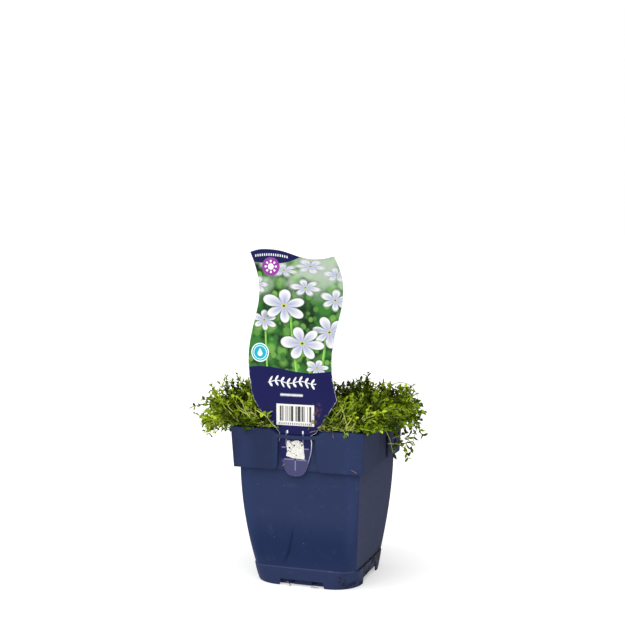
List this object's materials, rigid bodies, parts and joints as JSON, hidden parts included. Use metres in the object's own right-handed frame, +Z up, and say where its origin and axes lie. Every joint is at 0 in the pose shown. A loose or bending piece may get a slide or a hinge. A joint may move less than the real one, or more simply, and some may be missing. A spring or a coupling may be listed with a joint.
{
  "type": "potted blue star creeper",
  "caption": "Low mat of small-leaved creeping stems in a square plastic nursery pot, with a wavy plant label hooked behind the rim strap.",
  "frame": {"origin": "on the ground under the middle of the pot, on the flat underside of the pot's floor", "axes": "+Z up, -Y towards the side that the label faces, +X to the right of someone who reads the label"},
  "size_m": [0.1813, 0.1297, 0.2587],
  "materials": {
    "pot_plastic": "satin",
    "label_print": "gloss",
    "sticker_paper": "matte",
    "soil": "matte",
    "foliage": "satin"
  },
  "bodies": {
    "root": {"pot": "pot_plastic", "soil": "soil", "label": "label_print", "sticker": "sticker_paper", "spray_01": "foliage", "spray_02": "foliage", "spray_03": "foliage", "spray_04": "foliage", "spray_05": "foliage", "spray_06": "foliage", "spray_07": "foliage", "spray_08": "foliage", "spray_09": "foliage", "spray_10": "foliage", "spray_11": "foliage", "spray_12": "foliage", "spray_13": "foliage", "spray_14": "foliage", "spray_15": "foliage", "spray_16": "foliage", "spray_17": "foliage", "spray_18": "foliage", "spray_19": "foliage", "spray_20": "foliage", "spray_21": "foliage", "spray_22": "foliage", "spray_23": "foliage", "spray_24": "foliage", "spray_25": "foliage", "spray_26": "foliage", "spray_27": "foliage", "spray_28": "foliage", "spray_29": "foliage", "spray_30": "foliage", "spray_31": "foliage", "spray_32": "foliage", "spray_33": "foliage", "spray_34": "foliage", "spray_35": "foliage", "spray_36": "foliage", "spray_37": "foliage", "spray_38": "foliage", "spray_39": "foliage", "spray_40": "foliage", "spray_41": "foliage", "spray_42": "foliage", "spray_43": "foliage", "spray_44": "foliage", "spray_45": "foliage", "spray_46": "foliage", "spray_47": "foliage", "spray_48": "foliage", "spray_49": "foliage"}
  },
  "joints": []
}
